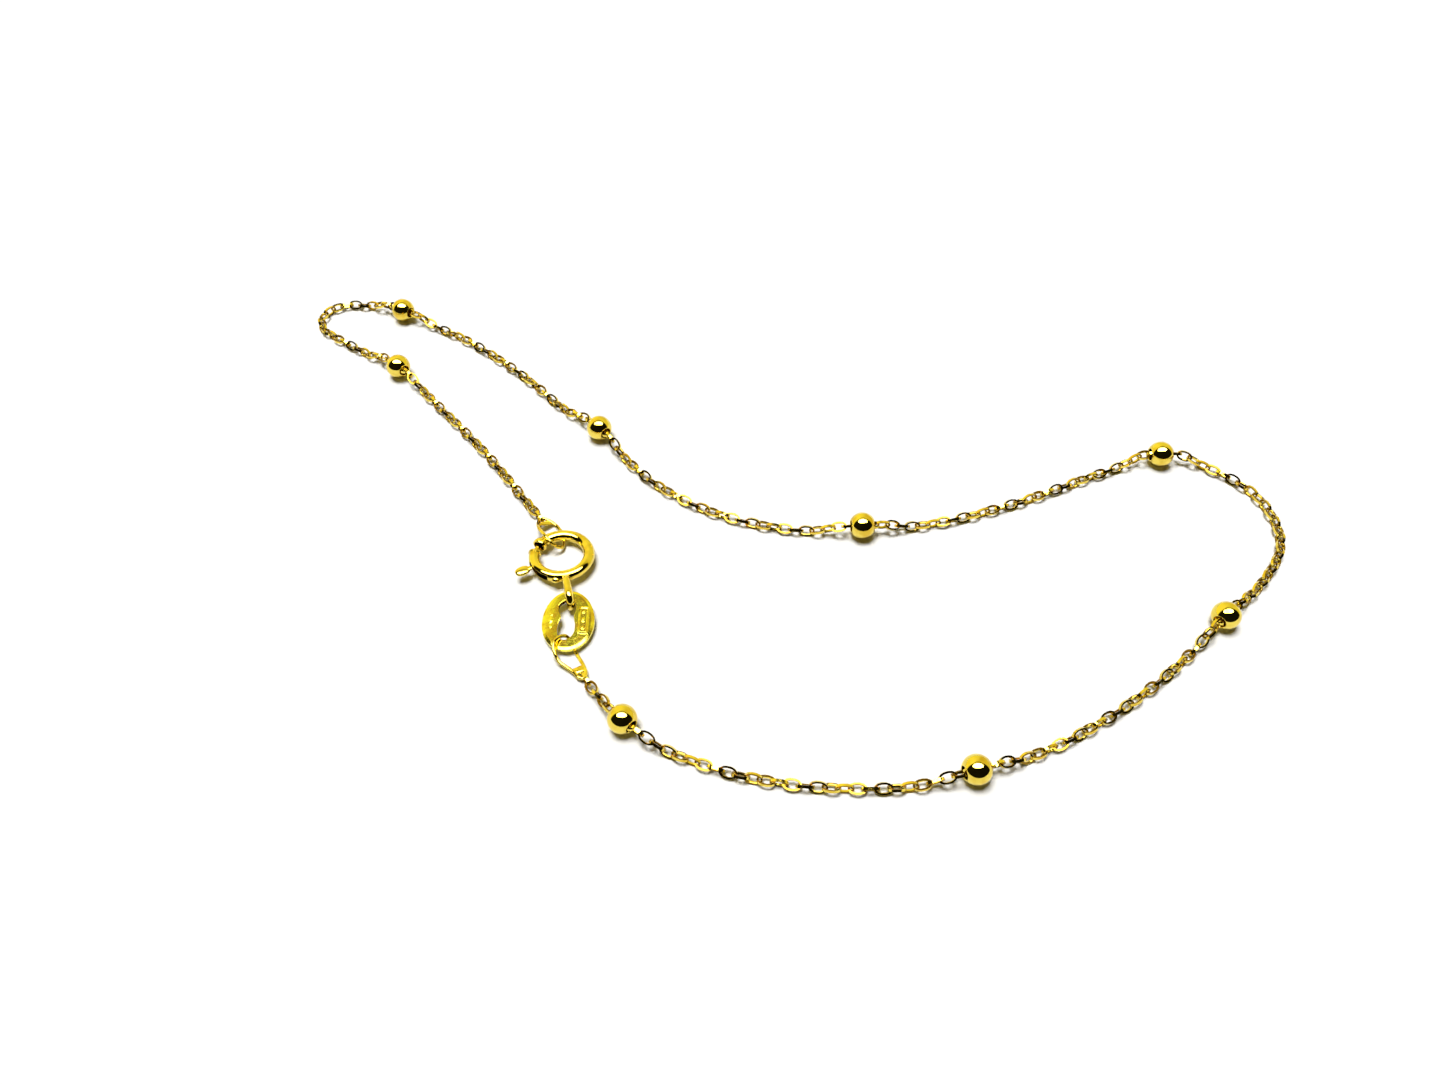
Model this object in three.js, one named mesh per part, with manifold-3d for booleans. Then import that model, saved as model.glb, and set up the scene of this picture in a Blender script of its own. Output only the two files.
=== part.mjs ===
// Beaded station bracelet: a fine yellow-gold chain with eight round beads threaded on it,
// closed by a bolt ring, and lying open on a flat surface.
// Millimetres, +Z up, +X to the right and +Y away from the viewer. The origin is under the
// middle of the whole bracelet, on the surface that it lies on.

import * as THREE from "three";
import { mergeVertices } from "three/addons/utils/BufferGeometryUtils.js";
import Module from "manifold-3d";

// Beads: polished balls, drilled through for the chain
const BEAD_RADIUS = 1.0;
const BEAD_BORE = 0.455;
const BEAD_LIP = 0.05;
const BEAD_SIDES = 16;
const BEAD_ARC_STEPS = 8;

// Chain: a thread of small links, drawn here as its round envelope
const THREAD_RADIUS = 0.35;
const THREAD_SIDES = 8;
const THREAD_STEP = 2.4;
const THREAD_HEIGHT = 0.4;
const BEAD_SPAN = 2.4;
const LIFT_REACH = 4.2;
const MEETING_GAP = 0.3;
const MEETING_BEAD = 4;

// Bolt ring: a hollow round tube bent to a ring, open at the upper left
const RING = { x: -14.75, y: -5.65, z: 0.81, tiltDeg: -2.5, radius: 2.01, tube: 0.42, bore: 0.29 };
const RING_FROM = 172;
const RING_TO = 513;
const RING_SIDES = 14;
const RING_STEPS = 48;
const COLLAR = { radius: 0.53, from: 505.5, to: 513, lipRadius: 0.47, lipTo: 176 };
const SOCKET_DEPTH = 10;
const SOLDER_BALL = { radius: 0.3, angle: -95, reach: 2.33 };

// Bolt: a curved pin with a thumb tab that slides in the tube's slot
const BOLT_RADIUS = 0.185;
const BOLT_FROM = 147;
const BOLT_TO = 216;
const TAB_ANGLE = 209;
const TAB = { stem: 0.16, thick: 0.32, disc: 0.5, reach: 3.13, stemTo: 2.85 };
const BOLT_TRAVEL = 33;
const SLOT_PLAY = 4.5;
const SLOT_HALF_HEIGHT = 0.24;

// Tail loop: a stout oval wire soldered to the bolt ring, standing on edge
const TAIL = { angle: -76.6, reach: 3.65, straight: 0.47, bend: 0.66, wire: 0.29 };

// Tag: an oval plate with a waisted slot and a plain raised panel
const TAG = { x: -13.74, y: -11.53, z: 0.75, tiltDeg: 6, halfWidth: 1.85, halfLength: 2.4, thick: 0.4 };
const TAG_EDGE = 0.05;
const TAG_STEPS = 40;
const SLOT_STEPS = 32;
const PANEL = { x: 1.09, y: 0.02, width: 0.66, length: 2.1, corner: 0.16, height: 0.05 };

// Thin jump rings
const JUMP_WIRE = 0.13;
const JUMP_SIDES = 6;
const JUMP_STEPS = 36;
const PINCH_RADIUS = 0.36;

// The laid line of the chain, from the tag's jump ring round to the bolt ring's.
// bead is the number of the bead that sits on that point, or 0.
const ROUTE = [
  { x: -12.2, y: -16.1, bead: 0 },
  { x: -11.0, y: -17.8, bead: 0 },
  { x: -9.5, y: -19.6, bead: 1 },
  { x: -6.6, y: -21.5, bead: 0 },
  { x: -1.7, y: -23.3, bead: 0 },
  { x: 3.3, y: -24.1, bead: 0 },
  { x: 8.6, y: -24.1, bead: 0 },
  { x: 13.1, y: -23.2, bead: 2 },
  { x: 18.4, y: -21.3, bead: 0 },
  { x: 23.6, y: -18.4, bead: 0 },
  { x: 28.2, y: -15.0, bead: 0 },
  { x: 32.4, y: -11.2, bead: 3 },
  { x: 36.3, y: -7.8, bead: 0 },
  { x: 38.9, y: -4.0, bead: 0 },
  { x: 38.7, y: 0.3, bead: 0 },
  { x: 36.1, y: 3.4, bead: 0 },
  { x: 32.0, y: 4.8, bead: 4 },
  { x: 26.6, y: 2.9, bead: 0 },
  { x: 20.2, y: 0.1, bead: 0 },
  { x: 13.8, y: -2.0, bead: 0 },
  { x: 7.6, y: -2.9, bead: 5 },
  { x: 2.0, y: -2.7, bead: 0 },
  { x: -3.2, y: -1.2, bead: 0 },
  { x: -7.5, y: 1.4, bead: 0 },
  { x: -10.6, y: 4.6, bead: 0 },
  { x: -12.9, y: 7.7, bead: 6 },
  { x: -16.2, y: 10.6, bead: 0 },
  { x: -20.6, y: 15.2, bead: 0 },
  { x: -25.9, y: 19.6, bead: 0 },
  { x: -31.9, y: 23.0, bead: 7 },
  { x: -35.1, y: 24.3, bead: 0 },
  { x: -37.6, y: 24.4, bead: 0 },
  { x: -39.1, y: 23.2, bead: 0 },
  { x: -39.0, y: 21.4, bead: 0 },
  { x: -37.5, y: 19.9, bead: 0 },
  { x: -34.4, y: 17.8, bead: 0 },
  { x: -30.8, y: 15.3, bead: 8 },
  { x: -26.3, y: 10.4, bead: 0 },
  { x: -21.8, y: 5.1, bead: 0 },
  { x: -17.3, y: -1.0, bead: 0 },
];

// The tag's slot, across and along the plate, from its top end clockwise
const TAG_SLOT = [
  { across: -0.15, along: 1.6 },
  { across: 0.3, along: 1.45 },
  { across: 0.5, along: 1.0 },
  { across: 0.4, along: 0.3 },
  { across: 0.52, along: -0.45 },
  { across: 0.45, along: -1.05 },
  { across: 0.1, along: -1.5 },
  { across: -0.35, along: -1.52 },
  { across: -0.64, along: -1.1 },
  { across: -0.66, along: -0.35 },
  { across: -0.5, along: 0.25 },
  { across: -0.7, along: 0.75 },
  { across: -0.68, along: 1.25 },
];

// Wire of the jump ring that joins the chain to the tag, from its pinched joint, up over
// the tag's lower rim, down through the slot and back beneath the rim
const TAG_JUMP = [
  { x: -12.62, y: -15.5, z: 0.4 },
  { x: -13.5, y: -15.15, z: 0.34 },
  { x: -14.1, y: -14.75, z: 0.5 },
  { x: -14.42, y: -14.2, z: 0.84 },
  { x: -14.52, y: -13.65, z: 1.0 },
  { x: -14.3, y: -13.15, z: 1.0 },
  { x: -13.9, y: -12.8, z: 0.8 },
  { x: -13.62, y: -12.75, z: 0.4 },
  { x: -13.35, y: -13.2, z: 0.15 },
  { x: -12.98, y: -13.9, z: 0.14 },
  { x: -12.55, y: -14.7, z: 0.2 },
  { x: -12.5, y: -15.35, z: 0.36 },
];

// Wire of the jump ring that joins the chain to the bolt ring, from its pinched joint,
// over the tube, down through the ring and back beneath the tube
const RING_JUMP = [
  { x: -16.9, y: -1.55, z: 0.38 },
  { x: -17.02, y: -2.1, z: 0.55 },
  { x: -16.88, y: -2.8, z: 0.9 },
  { x: -16.57, y: -3.4, z: 1.18 },
  { x: -16.12, y: -4.1, z: 1.38 },
  { x: -15.67, y: -4.62, z: 1.24 },
  { x: -15.22, y: -4.72, z: 0.75 },
  { x: -14.85, y: -4.45, z: 0.36 },
  { x: -14.85, y: -3.75, z: 0.145 },
  { x: -15.1, y: -2.85, z: 0.145 },
  { x: -15.6, y: -2.2, z: 0.165 },
  { x: -16.3, y: -1.72, z: 0.27 },
  { x: -16.8, y: -1.5, z: 0.36 },
];

// The bracelet is slid by this much, so that the origin is under its middle
const CENTRING = { x: 0.0593, y: -0.0873 };

const GOLD = { color: 0xd9ab2e, roughness: 0.12, metalness: 1.0 };
const DEEP_GOLD = { color: 0xcf9a1c, roughness: 0.2, metalness: 1.0 };

const degrees = THREE.MathUtils.degToRad;
const wasm = await Module();
wasm.setup();

// Solids

/** Closes a geometry's shared corners and hands it over as a solid. */
function toSolid(geometry) {
  const bare = geometry.clone();
  bare.deleteAttribute("normal");
  bare.deleteAttribute("uv");
  const merged = mergeVertices(bare, 1e-5);
  return new wasm.Manifold(
    new wasm.Mesh({
      numProp: 3,
      vertProperties: new Float32Array(merged.attributes.position.array),
      triVerts: new Uint32Array(merged.index.array),
    }),
  );
}

/** The solid's triangles as a drawable geometry. */
function toGeometry(solid) {
  const mesh = solid.getMesh();
  const geometry = new THREE.BufferGeometry();
  geometry.setAttribute("position", new THREE.BufferAttribute(mesh.vertProperties, 3));
  geometry.setIndex(new THREE.BufferAttribute(mesh.triVerts, 1));
  geometry.computeVertexNormals();
  return geometry;
}

/** A named piece in its own finish. */
function piece(name, geometry, finish) {
  const mesh = new THREE.Mesh(geometry, new THREE.MeshStandardMaterial(finish));
  mesh.name = name;
  return mesh;
}

/** A regular polygon that stands for a round section. */
function roundSection(radius, sides) {
  const corners = [];
  for (let i = 0; i < sides; i += 1) {
    const angle = (2 * Math.PI * (i + 0.5)) / sides;
    corners.push(new THREE.Vector2(radius * Math.cos(angle), radius * Math.sin(angle)));
  }
  return new THREE.Shape(corners);
}

/** A round bar of one thickness along a path. */
function roundBar(path, radius, sides, steps) {
  return new THREE.ExtrudeGeometry(roundSection(radius, sides), { steps, extrudePath: path });
}

/** Part of a circle about the Z axis, from one angle to another in degrees. */
class RingArc extends THREE.Curve {
  constructor(radius, from, to) {
    super();
    this.radius = radius;
    this.from = degrees(from);
    this.to = degrees(to);
  }

  getPoint(t, target = new THREE.Vector3()) {
    const angle = this.from + (this.to - this.from) * t;
    return target.set(this.radius * Math.cos(angle), this.radius * Math.sin(angle), 0);
  }
}

/** A solid bar bent round the bolt ring's own circle. */
function ringBar(radius, from, to, sides = RING_SIDES) {
  const steps = Math.max(2, Math.round((RING_STEPS * (to - from)) / 360));
  return toSolid(roundBar(new RingArc(RING.radius, from, to), radius, sides, steps));
}

/** A block between two radii and two angles about Z, centred on the ring's own plane. */
function sector(inner, outer, from, to, halfHeight) {
  const shape = new THREE.Shape();
  shape.absarc(0, 0, outer, degrees(from), degrees(to), false);
  shape.absarc(0, 0, inner, degrees(to), degrees(from), true);
  const block = new THREE.ExtrudeGeometry(shape, {
    depth: 2 * halfHeight,
    bevelEnabled: false,
    curveSegments: 8,
  });
  return toSolid(block.translate(0, 0, -halfHeight));
}

/** A point at a distance and an angle about Z. */
function polar(reach, angle) {
  return new THREE.Vector3(reach * Math.cos(degrees(angle)), reach * Math.sin(degrees(angle)), 0);
}

// The laid line

/** A path through given corners, with one even step from each corner to the next. */
class CorneredPath extends THREE.Curve {
  constructor(corners) {
    super();
    this.corners = corners;
  }

  getPoint(t, target = new THREE.Vector3()) {
    const place = t * (this.corners.length - 1);
    const index = Math.min(Math.floor(place), this.corners.length - 2);
    return target.lerpVectors(this.corners[index], this.corners[index + 1], place - index);
  }

  getPointAt(u, target) {
    return this.getPoint(u, target);
  }

  getTangentAt(u, target) {
    return this.getTangent(u, target);
  }
}

const routePoints = ROUTE.map((row) => new THREE.Vector3(row.x, row.y, 0));
const laidLine = new THREE.CatmullRomCurve3(routePoints, false, "catmullrom", 0.5);
const SAMPLES_PER_POINT = 40;
laidLine.arcLengthDivisions = SAMPLES_PER_POINT * (ROUTE.length - 1);
const lineLength = laidLine.getLength();
const lengthsAlong = laidLine.getLengths();

/** Distance along the laid line of each bead, in the order of their numbers. */
const stations = ROUTE.map((row, index) => ({ bead: row.bead, at: lengthsAlong[index * SAMPLES_PER_POINT] }))
  .filter((row) => row.bead > 0)
  .map((row) => row.at);

/** Height of the chain's middle: low on the surface, and lifted where a bead carries it. */
function heightAlong(distance) {
  const apart = Math.min(...stations.map((station) => Math.abs(distance - station)));
  const start = BEAD_SPAN / 2;
  const t = THREE.MathUtils.clamp((apart - start) / (LIFT_REACH - start), 0, 1);
  return THREE.MathUtils.lerp(BEAD_RADIUS, THREAD_HEIGHT, THREE.MathUtils.smoothstep(t, 0, 1));
}

/** The point of the laid line at a distance from its start. */
function laidPoint(distance) {
  const point = laidLine.getPointAt(THREE.MathUtils.clamp(distance / lineLength, 0, 1));
  point.z = heightAlong(distance);
  return point;
}

/** Corners of the thread between two distances, in even steps that include both ends. */
function cornersBetween(from, to) {
  const steps = Math.max(1, Math.round((to - from) / THREAD_STEP));
  const corners = [];
  for (let i = 0; i <= steps; i += 1) {
    corners.push(laidPoint(THREE.MathUtils.lerp(from, to, i / steps)));
  }
  return corners;
}

/** The two ends of a bead's straight length of thread. */
function beadEnds(index) {
  return [laidPoint(stations[index] - BEAD_SPAN / 2), laidPoint(stations[index] + BEAD_SPAN / 2)];
}

/** The middle of a bead and the way that its bore runs. */
function beadSeat(index) {
  const [before, after] = beadEnds(index);
  const middle = new THREE.Vector3().addVectors(before, after).multiplyScalar(0.5);
  const along = new THREE.Vector3().subVectors(after, before).normalize();
  return { middle, along };
}

/** One run of thread, straight through its beads and stopping short of the meeting place. */
function threadRun(from, to) {
  const corners = [];
  let at = from;
  for (const station of stations.filter((place) => place > from && place < to)) {
    corners.push(...cornersBetween(at, station - BEAD_SPAN / 2));
    at = station + BEAD_SPAN / 2;
  }
  corners.push(...cornersBetween(at, to));
  return corners;
}

/** A thread along its corners, as one solid bar. */
function thread(corners) {
  const path = new CorneredPath(corners);
  return roundBar(path, THREAD_RADIUS, THREAD_SIDES, corners.length - 1);
}

/** The two halves of the chain, which meet inside one bead. */
function chainHalves() {
  const meeting = stations[MEETING_BEAD - 1];
  const { middle, along } = beadSeat(MEETING_BEAD - 1);
  const near = threadRun(0, meeting - BEAD_SPAN / 2);
  near.push(middle.clone().addScaledVector(along, -MEETING_GAP / 2));
  const far = threadRun(meeting + BEAD_SPAN / 2, lineLength);
  far.unshift(middle.clone().addScaledVector(along, MEETING_GAP / 2));
  return [piece("chain_near", thread(near), GOLD), piece("chain_far", thread(far), GOLD)];
}

// Beads

/** A ball turned about its bore: outer arc, a small lip at each mouth, and the bore's wall. */
function beadGeometry() {
  const mouth = Math.asin((BEAD_BORE + BEAD_LIP) / BEAD_RADIUS);
  const profile = [];
  for (let i = 0; i <= BEAD_ARC_STEPS; i += 1) {
    const angle = THREE.MathUtils.lerp(mouth, Math.PI - mouth, i / BEAD_ARC_STEPS);
    profile.push(new THREE.Vector2(BEAD_RADIUS * Math.sin(angle), -BEAD_RADIUS * Math.cos(angle)));
  }
  const innerEnd = BEAD_RADIUS * Math.cos(mouth) - BEAD_LIP;
  profile.push(new THREE.Vector2(BEAD_BORE, innerEnd));
  profile.push(new THREE.Vector2(BEAD_BORE, -innerEnd));
  profile.push(profile[0].clone());
  return toGeometry(toSolid(new THREE.LatheGeometry(profile, BEAD_SIDES)));
}

/** Every bead on its station, with its bore along the thread and one edge straight down. */
function beads() {
  const geometry = beadGeometry();
  const up = new THREE.Vector3(0, 0, 1);
  return stations.map((station, index) => {
    const { middle, along } = beadSeat(index);
    const side = new THREE.Vector3().crossVectors(along, up);
    const bead = piece(`bead_${index + 1}`, geometry, GOLD);
    bead.quaternion.setFromRotationMatrix(new THREE.Matrix4().makeBasis(side, along, up));
    bead.position.copy(middle);
    return bead;
  });
}

// Bolt ring

/** The oval tail loop's wire, in an upright plane through the ring's middle. */
function tailLoop() {
  const outward = polar(1, TAIL.angle);
  const up = new THREE.Vector3(0, 0, 1);
  const middle = polar(TAIL.reach, TAIL.angle);
  const place = (along, height) => middle.clone().addScaledVector(outward, along).addScaledVector(up, height);
  const corners = [];
  const bendSteps = 8;
  for (const end of [1, -1]) {
    for (let i = 0; i <= bendSteps; i += 1) {
      const angle = Math.PI * (i / bendSteps - 0.5);
      const along = end * (TAIL.straight + TAIL.bend * Math.cos(angle));
      corners.push(place(along, end * TAIL.bend * Math.sin(angle)));
    }
  }
  // The wire starts and ends inside the ring's tube, where it is soldered.
  const seam = corners.length - bendSteps / 2 - 1;
  const ordered = [...corners.slice(seam), ...corners.slice(0, seam + 1)];
  const firstHalf = ordered.slice(0, bendSteps + 3);
  const secondHalf = ordered.slice(bendSteps + 2);
  return [firstHalf, secondHalf].map((half) => {
    return toSolid(roundBar(new CorneredPath(half), TAIL.wire, 10, half.length - 1));
  });
}

/** The hollow tube with its collar, slot, solder and tail loop, as one solid. */
function clampRing() {
  let solid = ringBar(RING.tube, RING_FROM, RING_TO)
    .add(ringBar(COLLAR.radius, COLLAR.from, COLLAR.to))
    .add(ringBar(COLLAR.lipRadius, RING_FROM, COLLAR.lipTo));
  const ball = new THREE.SphereGeometry(SOLDER_BALL.radius, 10, 8);
  const ballPlace = polar(SOLDER_BALL.reach, SOLDER_BALL.angle);
  solid = solid.add(toSolid(ball.translate(ballPlace.x, ballPlace.y, 0)));
  for (const half of tailLoop()) {
    solid = solid.add(half);
  }
  const channelTo = BOLT_TO + BOLT_TRAVEL + SLOT_PLAY;
  const slotFrom = TAB_ANGLE - SLOT_PLAY - 4;
  const slotTo = TAB_ANGLE + BOLT_TRAVEL + SLOT_PLAY + 4;
  return solid
    .subtract(ringBar(RING.bore, RING_FROM - 3, channelTo, 10))
    .subtract(ringBar(RING.bore, RING_TO - SOCKET_DEPTH, RING_TO + 3, 10))
    .subtract(sector(RING.radius, RING.radius + 2 * RING.tube, slotFrom, slotTo, SLOT_HALF_HEIGHT));
}

/** The curved bolt with its stem and round thumb tab. */
function bolt() {
  const pin = ringBar(BOLT_RADIUS, BOLT_FROM, BOLT_TO, 8);
  const halfStem = THREE.MathUtils.radToDeg(TAB.stem / RING.radius);
  const stem = sector(RING.radius, TAB.stemTo, TAB_ANGLE - halfStem, TAB_ANGLE + halfStem, TAB.stem);
  const disc = new THREE.CylinderGeometry(TAB.disc, TAB.disc, TAB.thick, 16);
  const place = polar(TAB.reach, TAB_ANGLE);
  disc.rotateX(Math.PI / 2).translate(place.x, place.y, 0);
  return pin.add(stem).add(toSolid(disc));
}

/** The bolt ring and its bolt, set down on the surface with the tail end a little raised. */
function boltRing() {
  const group = new THREE.Group();
  group.position.set(RING.x, RING.y, RING.z);
  group.rotation.x = degrees(RING.tiltDeg);
  group.add(piece("clasp_ring", toGeometry(clampRing()), GOLD));
  group.add(piece("clasp_bolt", toGeometry(bolt()), DEEP_GOLD));
  return group;
}

// Tag

/** Outline of the tag's raised panel, centred on its own middle. */
function panelOutline() {
  const { width, length, corner } = PANEL;
  const right = width / 2;
  const top = length / 2;
  const shape = new THREE.Shape();
  shape.moveTo(right, corner - top);
  shape.lineTo(right, top - corner);
  shape.absarc(right - corner, top - corner, corner, 0, Math.PI / 2, false);
  shape.absarc(corner - right, top - corner, corner, Math.PI / 2, Math.PI, false);
  shape.absarc(corner - right, corner - top, corner, Math.PI, 1.5 * Math.PI, false);
  shape.absarc(right - corner, corner - top, corner, 1.5 * Math.PI, 2 * Math.PI, false);
  return shape;
}

/** The oval plate with its slot cut through, softened edges and the raised panel on top. */
function tagPlate() {
  const outline = new THREE.Shape();
  outline.absellipse(0, 0, TAG.halfWidth - TAG_EDGE, TAG.halfLength - TAG_EDGE, 0, 2 * Math.PI);
  const slotLine = new THREE.CatmullRomCurve3(
    TAG_SLOT.map((row) => new THREE.Vector3(row.across, row.along, 0)),
    true,
    "catmullrom",
    0.5,
  );
  const slot = new THREE.Shape(slotLine.getSpacedPoints(SLOT_STEPS).slice(0, -1));
  const plate = new THREE.ExtrudeGeometry(new THREE.Shape(outline.getSpacedPoints(TAG_STEPS).slice(0, -1)), {
    depth: TAG.thick - 2 * TAG_EDGE,
    bevelThickness: TAG_EDGE,
    bevelSize: TAG_EDGE,
    bevelSegments: 1,
  });
  plate.translate(0, 0, TAG_EDGE - TAG.thick / 2);
  const cut = new THREE.ExtrudeGeometry(slot, { depth: 2 * TAG.thick, bevelEnabled: false });
  cut.translate(0, 0, -TAG.thick);
  const panel = new THREE.ExtrudeGeometry(panelOutline(), {
    depth: TAG.thick / 2 + PANEL.height,
    bevelEnabled: false,
    curveSegments: 4,
  });
  panel.translate(PANEL.x, PANEL.y, 0);
  return toGeometry(toSolid(plate).subtract(toSolid(cut)).add(toSolid(panel)));
}

/** The tag in its place, its far end held up by the tail loop. */
function tag() {
  const plate = piece("tag", tagPlate(), GOLD);
  plate.position.set(TAG.x, TAG.y, TAG.z);
  plate.rotation.x = degrees(TAG.tiltDeg);
  return plate;
}

// Jump rings

/** A bent wire whose two ends meet in a pinched and soldered joint. */
function jumpRing(name, rows) {
  const points = rows.map((row) => new THREE.Vector3(row.x, row.y, row.z));
  const wire = new THREE.CatmullRomCurve3(points, false, "catmullrom", 0.5);
  const pinch = new THREE.SphereGeometry(PINCH_RADIUS, 10, 8);
  pinch.translate(points[0].x, points[0].y, points[0].z);
  const solid = toSolid(roundBar(wire, JUMP_WIRE, JUMP_SIDES, JUMP_STEPS)).add(toSolid(pinch));
  return piece(name, toGeometry(solid), GOLD);
}

const bracelet = new THREE.Group();
bracelet.position.set(CENTRING.x, CENTRING.y, 0);
bracelet.add(...beads());
bracelet.add(...chainHalves());
bracelet.add(boltRing());
bracelet.add(tag());
bracelet.add(jumpRing("tag_jump_ring", TAG_JUMP));
bracelet.add(jumpRing("clasp_jump_ring", RING_JUMP));

export default bracelet;
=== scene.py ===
"""Beaded station bracelet in polished yellow gold, laid open on a pale surface.

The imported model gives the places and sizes. This script gives its pieces their fine shapes
and finishes: drilled beads, small links of flat wire, a hollow bolt ring with its bolt, a
stamped oval tag and two soldered jump rings.
"""

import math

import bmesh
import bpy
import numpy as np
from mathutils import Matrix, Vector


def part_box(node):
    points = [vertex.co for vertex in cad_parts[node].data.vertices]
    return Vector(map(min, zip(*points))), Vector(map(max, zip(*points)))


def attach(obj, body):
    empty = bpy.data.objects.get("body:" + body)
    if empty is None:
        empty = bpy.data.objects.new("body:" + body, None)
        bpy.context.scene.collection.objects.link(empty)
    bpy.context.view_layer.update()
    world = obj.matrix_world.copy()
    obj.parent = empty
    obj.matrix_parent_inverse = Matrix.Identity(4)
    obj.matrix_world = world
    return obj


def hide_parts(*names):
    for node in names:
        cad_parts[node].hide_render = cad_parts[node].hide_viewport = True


bl_info = {
    "name": "Beaded station bracelet",
    "version": (1, 0, 0),
    "blender": (4, 5, 0),
    "location": "3D View > Sidebar > Bracelet",
    "description": "Builds the fine pieces, finishes and studio of a beaded gold bracelet",
    "category": "Add Mesh",
}

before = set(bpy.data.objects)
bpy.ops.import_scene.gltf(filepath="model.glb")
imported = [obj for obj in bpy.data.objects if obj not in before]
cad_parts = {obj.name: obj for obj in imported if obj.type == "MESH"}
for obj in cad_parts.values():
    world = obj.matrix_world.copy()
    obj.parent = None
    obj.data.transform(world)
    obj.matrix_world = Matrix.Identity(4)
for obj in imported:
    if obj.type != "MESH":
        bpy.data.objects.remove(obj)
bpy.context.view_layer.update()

MM = 0.001
MICRON = 1e-6
UP = np.array([0.0, 0.0, 1.0])

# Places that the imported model's boxes give
BEAD_NODES = sorted(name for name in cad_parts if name.startswith("bead_"))
BEAD_RADIUS = (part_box("bead_1")[1].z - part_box("bead_1")[0].z) / 2

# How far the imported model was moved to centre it
CENTRING = MM * np.array([0.0593, -0.0873, 0.0])

# The laid line of the chain from the tag's jump ring to the bolt ring's: x and y in
# millimetres, and the number of the bead that sits on the point, or 0
ROUTE = [
    (-12.2, -16.1, 0), (-11.0, -17.8, 0), (-9.5, -19.6, 1), (-6.6, -21.5, 0), (-1.7, -23.3, 0),
    (3.3, -24.1, 0), (8.6, -24.1, 0), (13.1, -23.2, 2), (18.4, -21.3, 0), (23.6, -18.4, 0),
    (28.2, -15.0, 0), (32.4, -11.2, 3), (36.3, -7.8, 0), (38.9, -4.0, 0), (38.7, 0.3, 0),
    (36.1, 3.4, 0), (32.0, 4.8, 4), (26.6, 2.9, 0), (20.2, 0.1, 0), (13.8, -2.0, 0),
    (7.6, -2.9, 5), (2.0, -2.7, 0), (-3.2, -1.2, 0), (-7.5, 1.4, 0), (-10.6, 4.6, 0),
    (-12.9, 7.7, 6), (-16.2, 10.6, 0), (-20.6, 15.2, 0), (-25.9, 19.6, 0), (-31.9, 23.0, 7),
    (-35.1, 24.3, 0), (-37.6, 24.4, 0), (-39.1, 23.2, 0), (-39.0, 21.4, 0), (-37.5, 19.9, 0),
    (-34.4, 17.8, 0), (-30.8, 15.3, 8), (-26.3, 10.4, 0), (-21.8, 5.1, 0), (-17.3, -1.0, 0),
]
THREAD_HEIGHT = 0.4 * MM
BEAD_SPAN = 2.4 * MM
LIFT_REACH = 4.2 * MM
MEETING_BEAD = 4

# The line is carried on past both its ends, and the first and the last link's middles lie so
# far in from there.
CARRIED_ON = 2 * MM
FIRST_LINK, LAST_LINK = 2.06 * MM, 1.4 * MM
END_ROLL = math.radians(90)
SWELL = {"roll": math.radians(1.4), "per_link": 0.07}
LINK_CLEARANCE = 0.008 * MM

# The wire of a link: shares of its thickness, outwards, and of its width, across
LINK_SECTION = np.array([
    (0.5, -0.5), (0.5, 0.5), (-0.3, 0.5), (-0.5, 0.36), (-0.5, -0.36), (-0.3, -0.5),
])
# Of the six faces between those points, how far each one is painted dark: the two edge faces fully and
# the two inner slopes less, partly the matt of the saw's cut and partly painted shade where
# neighbouring links meet
LINK_SHADE_AND_SAW = np.array([0.0, 1.0, 0.7, 0.0, 0.7, 1.0])
LINK_STEPS = 14
# Where the chain is twisted tight, in millimetres along it, with the roll in degrees that sets
# a link there edge-on to the viewer, and the length over which the twist changes to it
TIGHT = [(56.0, 78.0), (61.0, 95.0), (65.0, 122.0), (70.0, 138.0)]
TIGHT_EASE = 2.0

# The bolt ring: angles are degrees about its own axis, anticlockwise from +X
RING_PLACE = MM * np.array([-14.75, -5.65, 0.81])
RING_TILT = -2.5
RING_RADIUS = 2.01 * MM
TUBE_RADIUS = 0.42 * MM
BORE_RADIUS = 0.29 * MM
MOUTH_RADIUS = 0.42 * MM
MOUTH_ANGLES = (499.0, 512.0)
# Outer radius of the tube from its lip round to its collar: angle, radius in millimetres
TUBE_STATIONS = [
    (172.0, 0.47), (176.0, 0.47), (176.0, 0.42), (200.5, 0.42), (250.5, 0.42),
    (498.0, 0.42), (499.5, 0.475), (502.0, 0.52), (505.0, 0.545), (508.0, 0.55), (510.5, 0.54),
    (512.0, 0.515), (513.0, 0.475),
]
SLOT_ANGLES = (200.5, 250.5)
SLOT_HALF_SIDES = 5
TUBE_SIDES = 48
TUBE_STEP = 1.8
TAIL = {
    "angle": -76.6, "reach": 3.65 * MM, "straight": 0.47 * MM, "bend": 0.66 * MM,
    "wire": 0.29 * MM, "swell": 0.16, "swell_reach": 0.35 * MM,
}
SOLDER = {"angle": -95.0, "reach": 2.33 * MM, "radius": 0.3 * MM}
BOLT_RADIUS = 0.185 * MM
BOLT_ANGLES = (147.0, 216.0)
TAB_ANGLE = 209.0
TAB = {
    "reach": 3.08 * MM, "half_long": 0.55 * MM, "half_wide": 0.39 * MM, "half_thick": 0.23 * MM,
    "lean": 7.0, "squareness": 0.8, "dish": 0.2,
}
# The stem between them, which widens towards the tab and ends just inside its near edge
STEM = {"radius": 0.15 * MM, "flare": 0.5, "flat": 0.6, "end": TAB["reach"] - 0.75 * TAB["half_long"]}

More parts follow.
